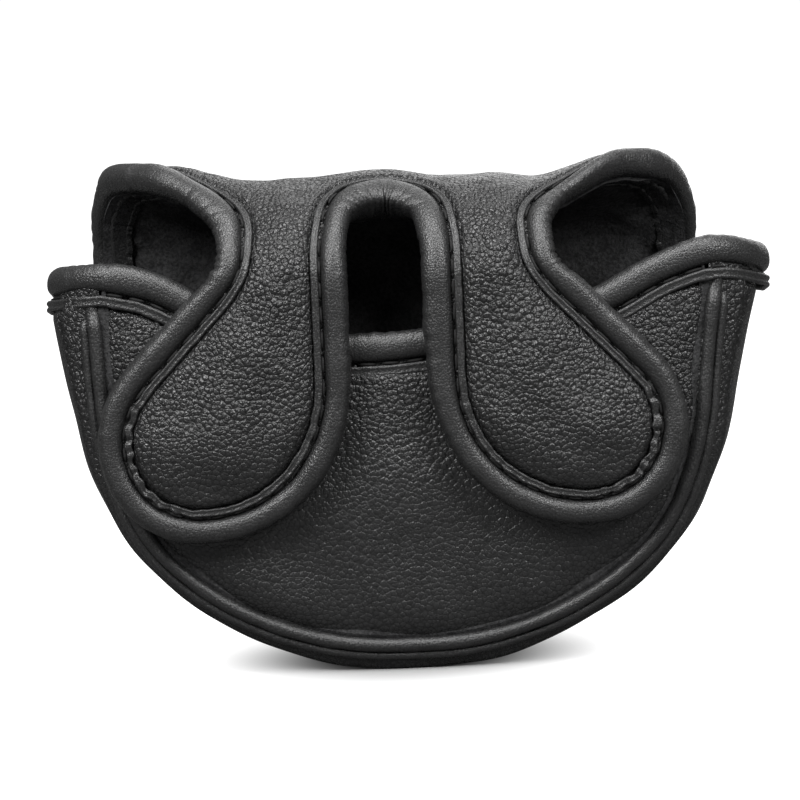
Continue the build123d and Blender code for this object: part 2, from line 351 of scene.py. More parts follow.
def outline_line(step=0.5):
    """The pouch's outline from its bottom middle up its right side, and its outward normals."""
    line = [(0.0, 0.0), (FLAT_HALF, 0.0)]
    x, z, start = FLAT_HALF, 0.0, 0.0
    for radius, end in SIDE_ARCS:
        begin = radians(start)
        for k in range(1, 25):
            angle = radians(start + (end - start) * k / 24)
            across, up = radius * (sin(angle) - sin(begin)), radius * (cos(begin) - cos(angle))
            line.append((x + across, z + up))
        x, z = line[-1]
        start = end
    rise = SIDE_TOP_Z - z
    line.append((x + rise / tan(radians(start)), SIDE_TOP_Z))
    return resample(line, step)


def seam_inset(s):
    """How far inside the outline the front and back seams lie."""
    return 5.0 + np.interp(s, [45, 60, 75, 88, 97, 107, 118], [0, 0.3, 0.9, 1.7, 2.6, 3.8, 4.3])


def read_line(s, along, line, normal):
    """Both numbers of a line's points, and of its outward normals, at distances s along it."""
    return (np.interp(s, along, values) for values in (*line.T, *normal.T))


class Side:
    """The pouch's side as a pattern: a round the outline from the bottom, b from front to back."""

    def __init__(self):
        self.line = outline_line()
        self.normal = relaxed(-sideways(self.line), 20)
        self.along = length_along(self.line)
        self.length = self.along[-1]

    def at(self, a, n):
        """The point at a signed distance round from the bottom, moved out by n."""
        x, z, nx, nz = read_line(np.abs(a), self.along, self.line, self.normal)
        side = np.where(a < 0, -1, 1)
        return side * (x + nx * n), z + nz * n

    def __call__(self, a, b, n):
        x, z = self.at(a, n)
        return np.stack([x + pouch_lean(z), b, z * STAND], 1)

    def seam(self, step=0.5):
        """The seam as a line in (x, z), from the top left round the bottom to the top right."""
        a = np.arange(-self.length, self.length + step / 2, step)
        x, z = self.at(a, -seam_inset(np.abs(a)))
        return np.stack([x, z], 1)


SIDE = Side()


def mouth_plan():
    """Where the mouth's binding runs seen from above, from the middle round to the right."""
    points = [
        (0.0, -FRONT_MID),
        (MOUTH_CORNER_X, -FRONT_MID),
        (MOUTH_SIDE_X, -FRONT_MID + 6.5),
        (MOUTH_SIDE_X, 12.0),
        (MOUTH_SIDE_X - 8.5, MID_R),
    ]
    return relaxed(rounded(points, [9.0, 9.0, 8.0]), 40)


MOUTH_PLAN = mouth_plan()
MOUTH_ALONG = length_along(MOUTH_PLAN)
MOUTH_NORMAL = -sideways(MOUTH_PLAN)


def mouth_wall(a, b, n):
    """A wall that follows the mouth round: a from the middle of the front, b up, n outwards."""
    x, y, nx, ny = read_line(np.abs(a), MOUTH_ALONG, MOUTH_PLAN, MOUTH_NORMAL)
    side = np.where(a < 0, -1, 1)
    bulge = 1.6 * smooth(a, 50.0, 72.0) - 0.2 * smooth(-a, 50.0, 72.0)
    b = b + 0.07 * a * np.exp(-((a / 18.0) ** 2)) + 1.3 * np.exp(-(((a - 60.0) / 8.0) ** 2))
    b = b + 0.8 * smooth(-a, 30.0, 48.0)
    return np.stack([side * (x + nx * n) + pouch_lean(b) + bulge, y + ny * n, b * STAND], 1)


# ---------------------------------------------------------------- mesh builders
def finished(name, bm, *materials):
    """A new piece from a bmesh, smooth shaded, with outward faces."""
    bmesh.ops.recalc_face_normals(bm, faces=bm.faces[:])
    for face in bm.faces:
        face.smooth = True
    mesh = bpy.data.meshes.new(name)
    bm.to_mesh(mesh)
    bm.free()
    piece = bpy.data.objects.new(name, mesh)
    bpy.context.scene.collection.objects.link(piece)
    for material in materials:
        mesh.materials.append(material)
    return piece


def read_points(bm):
    return np.array([v.co[:] for v in bm.verts], float)


def write_points(bm, points):
    for vert, point in zip(bm.verts, points):
        vert.co = point


def wall(name, surface, corners, outline, height, thickness, material, step=GRID):
    """A sheet of some thickness lying on a pattern's surface: a grid cut along an outline, with
    its outer face at height, given a wall and then bent."""
    (a0, b0), (a1, b1) = corners
    bm = bmesh.new()
    columns, rows = int(round((a1 - a0) / step)), int(round((b1 - b0) / step))
    bmesh.ops.create_grid(bm, x_segments=columns, y_segments=rows, size=0.5)
    flat = read_points(bm)
    a, b = a0 + (flat[:, 0] + 0.5) * (a1 - a0), b0 + (flat[:, 1] + 0.5) * (b1 - b0)
    write_points(bm, np.stack([a, b, np.zeros(len(a))], 1))
    if outline is not None:
        dense = resample(np.concatenate([outline, outline[:1]]), 0.25)
        near, _ = distance(a, b, dense)
        kept = inside(a, b, outline) | (near < 0.3 * step)
        bmesh.ops.delete(bm, geom=[v for v, k in zip(bm.verts, kept) if not k], context="VERTS")
        bmesh.ops.delete(bm, geom=[v for v in bm.verts if not v.link_faces], context="VERTS")
        rim = [v for v in bm.verts if v.is_boundary]
        spots = np.array([v.co[:2] for v in rim])
        near, index = distance(spots[:, 0], spots[:, 1], dense)
        for vert, gap, spot in zip(rim, near, dense[index]):
            if gap < 1.3 * step:
                on_end = min(abs(vert.co.y - b0), abs(vert.co.y - b1)) < 1e-6
                vert.co.x = spot[0]
                vert.co.y = vert.co.y if on_end else spot[1]
    points = read_points(bm)
    write_points(bm, np.stack([points[:, 0], points[:, 1], height(points[:, 0], points[:, 1])], 1))
    grown = bmesh.ops.extrude_face_region(bm, geom=bm.faces[:])
    fresh = {item for item in grown["geom"] if isinstance(item, bmesh.types.BMVert)}
    for vert in fresh:
        vert.co.z -= thickness
    for edge in bm.edges:
        ends = [vert in fresh for vert in edge.verts]
        rim_face = any(len({vert in fresh for vert in face.verts}) == 2 for face in edge.link_faces)
        edge.smooth = not (rim_face and ends[0] == ends[1])
    points = read_points(bm)
    write_points(bm, surface(points[:, 0], points[:, 1], points[:, 2]) * MM)
    return finished(name, bm, material)


def bar(name, surface, line, section, material, span=None, around=28):
    """A bar along a line on a pattern, or along one span of it. section gives, for each place
    along and angle round, how far the bar's skin lies across the line and how high."""
    first, last = span or (0, len(line) - 1)
    bm = bmesh.new()
    bmesh.ops.create_grid(bm, x_segments=last - first, y_segments=around, size=0.5)
    flat = read_points(bm)
    i = first + np.rint((flat[:, 0] + 0.5) * (last - first)).astype(int)
    angle = (flat[:, 1] + 0.5) * 2 * pi
    across, height = section(i, angle)
    spot = line[i] + sideways(line)[i] * across[:, None]
    write_points(bm, surface(spot[:, 0], spot[:, 1], height) * MM)
    bmesh.ops.remove_doubles(bm, verts=bm.verts[:], dist=1e-7)
    ends = [e for e in bm.edges if e.is_boundary]
    bmesh.ops.holes_fill(bm, edges=ends, sides=0)
    for edge in ends:
        edge.smooth = False
    return finished(name, bm, material)


def stitch_row(name, surface, line, across, height, material, span=None, ends=1.5):
    """Thread stitches along a line on a pattern, each a bead whose ends dip into the leather."""
    pitch, length = sizes().stitch_pitch / MM, sizes().stitch_length / MM
    radius = sizes().thread_radius / MM
    first, last = span or (0, len(line) - 1)
    side = sideways(line)[first : last + 1]
    line = line[first : last + 1]
    along = length_along(line)
    draw = np.random.default_rng(sizes().seed)
    bm = bmesh.new()
    count = int((along[-1] - 2 * ends) / pitch)
    for k in range(count):
        middle = ends + (k + 0.5) * (along[-1] - 2 * ends) / count
        grown = bmesh.ops.create_uvsphere(bm, u_segments=8, v_segments=7, radius=1.0)
        tilt = draw.uniform(-0.05, 0.05)
        for vert in grown["verts"]:
            u = vert.co.z
            s = middle + u * length / 2
            i = np.interp(s, along, np.arange(len(line)))
            j = min(int(i), len(line) - 2)
            spot = line[j] + (line[j + 1] - line[j]) * (i - j)
            fuller = radius / max(sqrt(1 - u * u), 0.35) * sqrt(max(1 - u**4, 0))
            spot = spot + side[j] * (across + vert.co.x * fuller + tilt * u)
            vert.co = (spot[0], spot[1], height + vert.co.y * fuller - 0.35 * u**4)
    points = read_points(bm)
    write_points(bm, surface(points[:, 0], points[:, 1], points[:, 2]) * MM)
    return finished(name, bm, material)


def folds(places, amount, seed, spacing, width):
    """Random narrow folds along a line, deep where amount is high. Gives each sample's depth."""
    draw = np.random.default_rng(seed)
    along = places - places[0]
    depth = np.zeros(len(along))
    at = draw.uniform(0, spacing)
    while at < along[-1]:
        strength = np.interp(at, along, amount) * draw.uniform(0.35, 1.0)
        sharp = width * draw.uniform(0.7, 1.4)
        depth = np.maximum(depth, strength * np.exp(-np.abs((along - at) / sharp) ** 1.6))
        at += spacing * draw.uniform(0.6, 1.5)
    return depth


# ---------------------------------------------------------------- the upper pattern's lines
HALF_EDGE = relaxed(rounded(EDGE_POINTS, EDGE_RADII), 24)
WHOLE_EDGE = np.concatenate([mirrored(HALF_EDGE)[:-1], HALF_EDGE])


def edge_spans():
    """The whole binding in its runs: first and last sample of each."""
    flap = WHOLE_EDGE[:, 1] < SPLIT_T
    turns = np.flatnonzero(np.diff(flap.astype(int))) + 1
    corner_end = len(WHOLE_EDGE) - 1
    return {
        "hood_left_edge": (0, turns[0]),
        "left_flap_edge": (turns[0], turns[1]),
        "slot_edge": (turns[1], turns[2]),
        "right_flap_edge": (turns[2], turns[3]),
        "hood_right_edge": (turns[3], corner_end),
    }


def upper_outline():
    """Closed outline of the back, hood and flaps together, on the binding's centre line and on
    the back seam."""
    seam = SIDE.seam(1.0)
    seam = seam[seam[:, 1] < HOOD_Z - 5.0]
    back = np.stack([seam[:, 0], BACK_END - seam[:, 1]], 1)[::-1]
    return np.concatenate([WHOLE_EDGE, back])


def panel_height(a, b, line, seam=None, crown=None):
    """Height of the leather's face: low under the hem, creased beside it, and crowned inside."""
    near, _ = distance(a, b, line)
    rise = near - CREASE_AT
    crown = sizes().crown / MM if crown is None else crown
    height = 1.1 + 1.75 * smooth(rise, -0.25, 0.7) + crown * (1 - np.exp(-np.maximum(rise, 0) / 7.0))
    if seam is not None:
        edge, _ = distance(a, b, seam)
        height = height - 3.2 * np.exp(-edge / 2.2) - 0.9 * np.exp(-edge / 9.0)
    return height


def upper_height(a, b):
    """Height of the upper leather's face, with its swells and the creases beside the slot."""
    seam = SIDE.seam(1.0)
    back = np.stack([seam[:, 0], BACK_END - seam[:, 1]], 1)
    back = back[back[:, 1] > BACK_T + 4]
    height = panel_height(a, b, WHOLE_EDGE, back)
    near, _ = distance(a, b, WHOLE_EDGE)
    inner = smooth(near, CREASE_AT, CREASE_AT + 4)
    seed = sizes().seed
    height += inner * 0.26 * waves(a, b, 15.0, seed)
    # Short creases run out from the slot and the necks, where the leather turns over the hood.
    pulled = smooth(b, 60, 82) * (1 - smooth(b, 112, 126)) * np.exp(-np.maximum(near - CREASE_AT, 0) / 9)
    height += 0.15 * inner * pulled * waves(a * 0.35, b, 2.6, seed + 1)
    across = smooth(b, 72, 84) * (1 - smooth(b, 92, 110))
    height += 0.13 * inner * across * waves(a * 0.25, b, 3.4, seed + 2)
    return height


# ---------------------------------------------------------------- materials
def fill(tree, node, values):
    """Sets a node's inputs: a link where the value is another node's output, or a constant."""
    for name, value in values.items():
        if isinstance(value, bpy.types.NodeSocket):
            tree.links.new(value, node.inputs[name])
        else:
            node.inputs[name].default_value = value
    return node


def new_node(tree, kind, values=None, **settings):
    node = tree.nodes.new(kind)
    for key, value in settings.items():
        setattr(node, key, value)
    return fill(tree, node, values or {})


def maths(tree, operation, first, second, clamp=False):
    values = {0: first, 1: second}
    return new_node(tree, "ShaderNodeMath", values, operation=operation, use_clamp=clamp).outputs[0]


def times(tree, first, second):
    return maths(tree, "MULTIPLY", first, second)


def plus(tree, first, second):
    return maths(tree, "ADD", first, second)


def remap(tree, value, low_in, high_in, low_out=0.0, high_out=1.0):
    """A value spread smoothly from one range to another."""
    ends = {"From Min": low_in, "From Max": high_in, "To Min": low_out, "To Max": high_out}
    node = new_node(tree, "ShaderNodeMapRange", {"Value": value, **ends}, interpolation_type="SMOOTHSTEP")
    return node.outputs["Result"]


def noise(tree, vector, scale, detail, roughness, output="Fac"):
    values = {"Vector": vector, "Scale": scale, "Detail": detail, "Roughness": roughness}
    return new_node(tree, "ShaderNodeTexNoise", values).outputs[output]


def mixed_colour(tree, factor, first, second):
    values = {"Factor": factor, "A": (*first, 1.0), "B": (*second, 1.0)}
    return new_node(tree, "ShaderNodeMix", values, data_type="RGBA").outputs["Result"]


def bump(tree, height, metres):
    values = {"Height": height, "Distance": metres, "Strength": 1.0}
    return new_node(tree, "ShaderNodeBump", values).outputs["Normal"]


def grain_group():
    """Pebbled leather grain: rounded cells of uneven size between fine valleys."""
    name = "leather_grain"
    if name in bpy.data.node_groups:
        return bpy.data.node_groups[name]
    tree = bpy.data.node_groups.new(name, "ShaderNodeTree")
    tree.interface.new_socket(name="Vector", in_out="INPUT", socket_type="NodeSocketVector")
    for name, default in (("Cells per Metre", 1200.0), ("Stretch", 0.00035)):
        socket = tree.interface.new_socket(name=name, in_out="INPUT", socket_type="NodeSocketFloat")
        socket.default_value = default
    for name in ("Height", "Valley", "Patch"):
        tree.interface.new_socket(name=name, in_out="OUTPUT", socket_type="NodeSocketFloat")
    source, result = tree.nodes.new("NodeGroupInput"), tree.nodes.new("NodeGroupOutput")
    vector, cells = source.outputs["Vector"], source.outputs["Cells per Metre"]

    def shift(operation, values):
        return new_node(tree, "ShaderNodeVectorMath", values, operation=operation).outputs[0]

    warp = noise(tree, vector, times(tree, cells, 0.45), 3.0, 0.6, output="Color")
    centred = shift("SUBTRACT", {0: warp, 1: (0.5, 0.5, 0.5)})
    scaled = shift("SCALE", {0: centred, "Scale": source.outputs["Stretch"]})
    moved = shift("ADD", {0: vector, 1: scaled})

    def pebbles(feature, scale):
        values = {"Vector": moved, "Scale": scale}
        return new_node(tree, "ShaderNodeTexVoronoi", values, feature=feature).outputs["Distance"]

    from_edge, from_centre = pebbles("DISTANCE_TO_EDGE", cells), pebbles("F1", cells)
    from_small_edge = pebbles("DISTANCE_TO_EDGE", times(tree, cells, 2.1))
    curve = times(tree, times(tree, from_centre, from_centre), 1.5)
    dome = maths(tree, "SUBTRACT", 1.0, curve, clamp=True)
    plate = remap(tree, from_edge, 0.0, 0.16)
    fine = remap(tree, from_small_edge, 0.0, 0.30)
    swell = noise(tree, vector, times(tree, cells, 0.16), 3.0, 0.55)
    height = plus(tree, times(tree, dome, 0.80), times(tree, plate, 0.22))
    height = plus(tree, height, times(tree, fine, 0.16))
    height = plus(tree, height, times(tree, swell, 0.6))
    valley = maths(tree, "SUBTRACT", 1.0, plate, clamp=True)
    patch = remap(tree, swell, 0.35, 0.65)
    fill(tree, result, {"Height": height, "Valley": valley, "Patch": patch})
    return tree


def finish(name, looks):
    """The material of that name, made once. looks gives its shader's inputs, from the material's
    node tree and its Object coordinates."""
    if name in bpy.data.materials:
        return bpy.data.materials[name]
    material = bpy.data.materials.new(name)
    material.use_nodes = True
    tree = material.node_tree
    place = tree.nodes.new("ShaderNodeTexCoord").outputs["Object"]
    fill(tree, tree.nodes["Principled BSDF"], looks(tree, place))
    return material


def leather(name, colour, cells, depth, rough, least=1.0):
    """Leather with grain, darker valleys, and gloss that changes from patch to patch. Low on the
    cover the hide is pulled smooth, down to the least share of its grain."""

    def looks(tree, place):
        grain = new_node(tree, "ShaderNodeGroup", node_tree=grain_group())
        fill(tree, grain, {"Vector": place, "Cells per Metre": cells, "Stretch": 0.42 / cells})
        valley = grain.outputs["Valley"]
        dark = [c * 0.45 for c in colour]
        light = [min(c * 1.35 + 0.001, 1) for c in colour]
        worn = times(tree, grain.outputs["Patch"], -0.08)
        up = new_node(tree, "ShaderNodeSeparateXYZ", {0: place}).outputs["Z"]
        share = remap(tree, up, 0.030, 0.062, least)
        return {
            "Base Color": mixed_colour(tree, valley, light, dark),
            "Roughness": plus(tree, plus(tree, worn, times(tree, valley, 0.22)), rough),
            "Specular IOR Level": 0.5,
            "IOR": 1.5,
            "Normal": bump(tree, times(tree, grain.outputs["Height"], share), depth),
        }

    return finish(name, looks)


def pebbled():
    cells = 1.0 / sizes().grain_size
    return leather("grained_black_leather", colours().leather, cells, 0.00031, 0.28, least=0.42)


def smooth_leather():
    cells = 1.9 / sizes().grain_size
    return leather("binding_black_leather", colours().binding, cells, 0.000065, 0.29)


def plush():
    """Short dark pile: uneven tufts that catch light at a glancing angle."""

    def looks(tree, place):
        tufts = noise(tree, place, 1500.0, 3.0, 0.65)
        nap = noise(tree, place, 130.0, 2.0, 0.5)
        pile = plus(tree, times(tree, tufts, 0.6), times(tree, nap, 0.4))
        dark, light = ([c * share for c in colours().lining] for share in (0.5, 1.9))
        return {
            "Base Color": mixed_colour(tree, remap(tree, pile, 0.35, 0.65), dark, light),
            "Roughness": 0.95,
            "Specular IOR Level": 0.15,
            "Sheen Weight": 0.22,
            "Sheen Roughness": 0.45,
            "Sheen Tint": (0.35, 0.35, 0.37, 1.0),
            "Normal": bump(tree, pile, 0.0006),
        }

    return finish("charcoal_plush", looks)


def thread():
    """Waxed twisted thread."""

    def looks(tree, place):
        twist = noise(tree, place, 2600.0, 2.0, 0.5)
        dark, light = ([c * share for c in colours().thread] for share in (0.5, 2.0))
        return {
            "Base Color": mixed_colour(tree, twist, dark, light),
            "Roughness": 0.75,
            "Specular IOR Level": 0.3,
            "Normal": bump(tree, twist, 0.00008),
        }

    return finish("waxed_thread", looks)


def nickel():
    """Nickel plate with faint brushed marks."""

    def looks(tree, place):
        marks = noise(tree, place, 900.0, 4.0, 0.6)
        return {
            "Base Color": mixed_colour(tree, marks, (0.50, 0.50, 0.49), (0.66, 0.65, 0.63)),
            "Metallic": 1.0,
            "Roughness": remap(tree, marks, 0.3, 0.7, 0.22, 0.38),
            "Normal": bump(tree, marks, 0.00002),
        }

    return finish("nickel_plate", looks)


# ---------------------------------------------------------------- shared sections
def eased(values, reach=6):
    """Values along a line, averaged with their neighbours."""
    kernel = np.ones(2 * reach + 1) / (2 * reach + 1)
    return np.convolve(np.pad(values, reach, mode="edge"), kernel, mode="valid")


def roll_section(line, seed, loose=1.0, wide=None, lean=None):
    """Section of the padded edge: a full roll, gathered on its free side where the edge turns in
    on itself. wide says where the roll spreads inwards, and lean where it is fatter or thinner."""
    along = length_along(line)
    wide = np.zeros(len(line)) if wide is None else wide
    lean = np.zeros(len(line)) if lean is None else lean
    full = 1 + 0.12 * np.clip(lean - 1.0, 0, 1)
    turning_in = eased(np.clip(-curvature(line) * 9.0, 0, 1))
    depth = folds(along, np.maximum(turning_in * 0.75, wide), seed, 2.1, 0.42) * loose
    depth = np.maximum(depth, folds(along, 0.07 + 0 * along, seed + 1, 9.0, 0.8))
    swell = waves(line[:, 0], line[:, 1], 11.0, seed + 3) * 0.035
    faint = waves(line[:, 0], line[:, 1], 2.4, seed + 5) * 0.02

    def section(i, angle):
        c, s = np.cos(angle), np.sin(angle)
        power = 2.0 / 2.3
        free = np.clip(-c + 0.25, 0, 1.25) / 1.25
        size = 1 + swell[i] + faint[i] * free
        reach = np.where(c < 0, ROLL_SIDE + 2.6 * wide[i] + lean[i], ROLL_SIDE)
        tall = np.where(s < 0, ROLL_HEIGHT + 3.6 * wide[i], ROLL_HEIGHT * full[i])
        across = reach * size * np.sign(c) * np.abs(c) ** power
        height = tall * size * np.sign(s) * np.abs(s) ** power
        cut = depth[i] * free**0.8
        across = across + cut * 1.5
        height = height * (1 - 0.22 * cut)
        return across, ROLL_CENTRE + height

    return section


def hem_section(line, seed, across=HEM_AT, height=HEM_HEIGHT, half=0.76, pucker=0.0, up=1):
    """Section of the binding's sewn edge: a low double ridge, puckered where the edge turns out
    tightly."""
    along = length_along(line)
    tight = eased(np.clip(curvature(line) * 26.0 - 0.80, pucker, 1))
    nip = folds(along, tight, seed + 11, 3.4, 0.36)
    stray = waves(line[:, 0], line[:, 1], 5.0, seed + 13) * (0.03 + 0.18 * tight)
    swell = waves(line[:, 0], line[:, 1], 3.2, seed + 17) * (0.03 + 0.16 * tight)

    def section(i, angle):
        c, s = np.cos(angle), np.sin(angle)
        top = s > 0
        side = half * (1 + swell[i] - 0.30 * nip[i]) * np.sign(c) * np.abs(c) ** 0.75
        rise = 0.55 * np.sign(s) * np.abs(s) ** 0.75
        dent = 0.42 * np.exp(-((c / 0.22) ** 2)) * (1 - 0.5 * tight[i])
        rise = rise + top * (swell[i] - dent - 1.05 * nip[i] * (1 - 0.3 * c))
        return across + side + stray[i], height + up * rise

    return section


def leather_wall(name, surface, corners, outline, height, nodes, thickness=LEATHER_THICKNESS):
    """Adds a padded leather wall, which stands for its leather and its foam."""
    piece = wall(name, surface, corners, outline, height, thickness, pebbled())
    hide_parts(*nodes)
    return piece


def plush_wall(name, surface, corners, outline, height, thickness, step, nodes):
    """Adds a lining: a sheet of plush stretched over its foam."""
    piece = wall(name, surface, corners, outline, height, thickness, plush(), step)
    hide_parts(*nodes)
    (a0, b0), (a1, b1) = corners
    cell = 0.5
    spots = np.meshgrid(np.arange(a0, a1, cell) + cell / 2, np.arange(b0, b1, cell) + cell / 2)
    a, b = (grid.ravel() for grid in spots)
    cut = inside(a, b, outline)
    return piece


def lining_height(a, b):
    """Height of the plush's outer face, which lies below the wall's middle."""
    seed = sizes().seed
    return -2.15 + 0.38 * waves(a, b, 15.0, seed + 21) + 0.12 * waves(a, b, 4.5, seed + 22)


def panel_lining_height(a, b):
    """The same for a large panel, where the plush lies closer to the leather."""
    return lining_height(a, b) + 0.6


def flap_corners(side, inner, outer):
    """Corners of one flap's grid on the upper pattern."""
    near, far = sorted((side * inner, side * outer))
    return (near, LOBE_BOTTOM - 2), (far, SPLIT_T)


# ---------------------------------------------------------------- operators
class HEADCOVER_OT_upper_leather(bpy.types.Operator):
    """Adds the padded leather of the back, the hood and the two flaps"""

    bl_idname = "head_cover.upper_leather"
    bl_label = "Upper Leather"

    def execute(self, context):
        outline = upper_outline()
        corners = ((-68.6, SPLIT_T), (68.6, BACK_END))
        nodes = ("hood_leather", "hood_foam", "back_panel_leather", "back_panel_foam")
        hood = leather_wall("back_and_hood_leather", upper, corners, outline, upper_height, nodes)
        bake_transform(hood)
        for name, side in SIDES:
            corners = flap_corners(side, 4.9, 60.2)
            nodes = (f"{name}_flap_leather", f"{name}_flap_foam")
            piece_name = f"{name}_flap_padded_leather"
            flap = leather_wall(piece_name, upper, corners, outline, upper_height, nodes)
            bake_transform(flap)
        return {"FINISHED"}


class HEADCOVER_OT_upper_lining(bpy.types.Operator):
    """Adds the plush lining behind the back, the hood and the two flaps"""

    bl_idname = "head_cover.upper_lining"
    bl_label = "Upper Lining"

    def execute(self, context):
        outline = upper_outline()
        corners = ((-68, SPLIT_T), (68, BACK_END))
        nodes = ("hood_lining", "back_panel_lining")
        name = "back_and_hood_lining"
        lining = plush_wall(name, upper, corners, outline, panel_lining_height, 1.5, 1.0, nodes)
        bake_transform(lining)

        def height(a, b):
            return lining_height(a, b) * 0.6

        for name, side in SIDES:
            corners = flap_corners(side, 5.0, 60.0)
            nodes = (f"{name}_flap_lining",)
            flap = plush_wall(f"{name}_flap_plush", upper, corners, outline, height, 1.4, 1.0, nodes)
            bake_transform(flap)
        return {"FINISHED"}


class HEADCOVER_OT_upper_binding(bpy.types.Operator):
    """Adds the padded roll, its hem and its stitches round the flaps, the slot and the hood"""

    bl_idname = "head_cover.upper_binding"
    bl_label = "Upper Binding"

    def execute(self, context):
        line, seed, skin = WHOLE_EDGE, sizes().seed, smooth_leather()
        x, b = line.T
        # The slot's top is gathered and spread, its right side is fuller than its left, and the
        # left neck is the fullest.
        top = smooth(b, 92.0, 101.0) * (np.abs(x) < 12)
        beside = (np.abs(x) < 12) * smooth(b, 48, 66) * np.where(x > 0, 1.0, 0.15)
        neck = (x < -24) * smooth(b, 84.0, 92.0) * (1 - smooth(b, 104.0, 116.0))
        roll = roll_section(line, seed, wide=eased(top), lean=eased(beside + 1.7 * neck))
        hem = hem_section(line, seed)
        strip = hem_section(line, seed + 40, across=3.5, height=-2.9, half=2.0, up=-1)
        inner_hem = hem_section(line, seed + 50, across=5.4, height=-3.2, half=0.6, pucker=0.4, up=-1)
        for name, span in edge_spans().items():
            pieces = [
                bar(f"{name}_roll", upper, line, roll, skin, span, around=36),
                bar(f"{name}_hem", upper, line, hem, skin, span, around=20),
                bar(f"{name}_inner_strip", upper, line, strip, skin, span, around=12),
                bar(f"{name}_inner_hem", upper, line, inner_hem, skin, span, around=12),
                stitch_row(f"{name}_stitches", upper, line, STITCH_AT, STITCH_HEIGHT, thread(), span),
            ]
            parts = ("binding_cover", "binding_core")
            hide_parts(*(name.replace("edge", part) for part in parts))
            for piece in pieces:
                if name == "slot_edge":
                    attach(piece, "hood")
                elif "flap" in name:
                    side = "left" if "left" in name else "right"
                    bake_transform(piece)
                else:
                    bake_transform(piece)
            if "flap" in name:
                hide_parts(name.replace("edge", "stitching"))
        return {"FINISHED"}


def mouth_line():
    """The mouth binding's centre line on its own wall, from left to right."""
    half = relaxed(rounded(MOUTH_POINTS, MOUTH_RADII), 40)
    return np.concatenate([mirrored(half)[:-1], half])


class HEADCOVER_OT_front_panel(bpy.types.Operator):
    """Adds the padded front panel and its lining"""

    bl_idname = "head_cover.front_panel"
    bl_label = "Front Panel"

    def execute(self, context):
        seam, mouth, seed = SIDE.seam(1.0), mouth_line(), sizes().seed
        mouth = mouth[np.abs(mouth[:, 0]) < 60.0]
        outline = np.concatenate([seam[seam[:, 1] < 72.0], mouth[::-1]])

        def height(a, b):
            face = panel_height(a, b, mouth, seam, crown=0.5)
            face += 0.20 * waves(a, b, 22.0, seed + 31)
            return np.minimum(face, 3.45)

        corners = ((-68, 2), (68, 80))
        nodes = ("front_panel_leather", "front_panel_foam")
        panel = leather_wall("front_panel_padded_leather", front, corners, outline, height, nodes)
        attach(panel, "pouch")
        nodes, name = ("front_panel_lining",), "front_panel_plush"
        lining = plush_wall(name, front, corners, outline, panel_lining_height, 1.4, 1.2, nodes)
        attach(lining, "pouch")
        return {"FINISHED"}


def side_profile(a, b):
    """Height of the gusset's face above the outline's line: a soft bulge between its two seams,
    with a sewn ridge beside each piping."""
    middle, half = (FRONT_SEAM + BACK_SEAM) / 2, (BACK_SEAM - FRONT_SEAM) / 2
    share = np.clip(np.abs((b - middle) / half), 0, 1)
    inset = seam_inset(np.abs(a))
    power = 9.0 - 4.8 * smooth(np.abs(a), 10.0, 48.0)
    face = -inset * (1 - np.sqrt(np.maximum(1 - share**power, 0)))
    from_seam = half * (1 - share)
    face += 0.85 * np.exp(-(((from_seam - 1.9) / 0.75) ** 2))
    face -= 0.65 * np.exp(-(((from_seam - 3.4) / 0.5) ** 2))
    return face


class HEADCOVER_OT_gusset(bpy.types.Operator):
    """Adds the padded gusset between the front and the back, and its lining"""

    bl_idname = "head_cover.gusset"
    bl_label = "Gusset"

    def execute(self, context):
        seed, top = sizes().seed, SIDE.length
        corners = ((-top, FRONT_SEAM), (top, BACK_SEAM))
        # Its top edge is cut lower between the mouth's front and back corners.
        edge = [(top, FRONT_SEAM), (top, -11.0), (top - 3.0, -4.0)]
        edge += [(top - 3.0, 8.0), (top - 1.0, 16.0), (top, BACK_SEAM)]
        outline = np.array([(-a, b) for a, b in edge[::-1]] + edge)

        def height(a, b):
            face = side_profile(a, b) + 0.22 * waves(a, b, 19.0, seed + 41)
            return np.minimum(face, 0.0) - 1.7 * smooth(np.abs(a), top - 5.0, top - 0.5)

        def inner_height(a, b):
            return np.minimum(side_profile(a, b) - 2.0, -4.6 + 0.2 * waves(a, b, 12.0, seed + 42))

        nodes = ("gusset_leather", "gusset_foam")
        name = "gusset_padded_leather"
        gusset = leather_wall(name, SIDE, corners, outline, height, nodes, thickness=1.2)
        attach(gusset, "pouch")
        nodes = ("gusset_lining",)
        lining = plush_wall("gusset_plush", SIDE, corners, outline, inner_height, 1.3, 1.2, nodes)
        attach(lining, "pouch")
        return {"FINISHED"}


def cord_section(radius, across, rise):
    """Section of a round cord, from its radius, place across and height at each sample."""

    def section(i, angle):
        return across[i] + radius[i] * np.cos(angle), radius[i] * np.sin(angle) + rise[i]

    return section


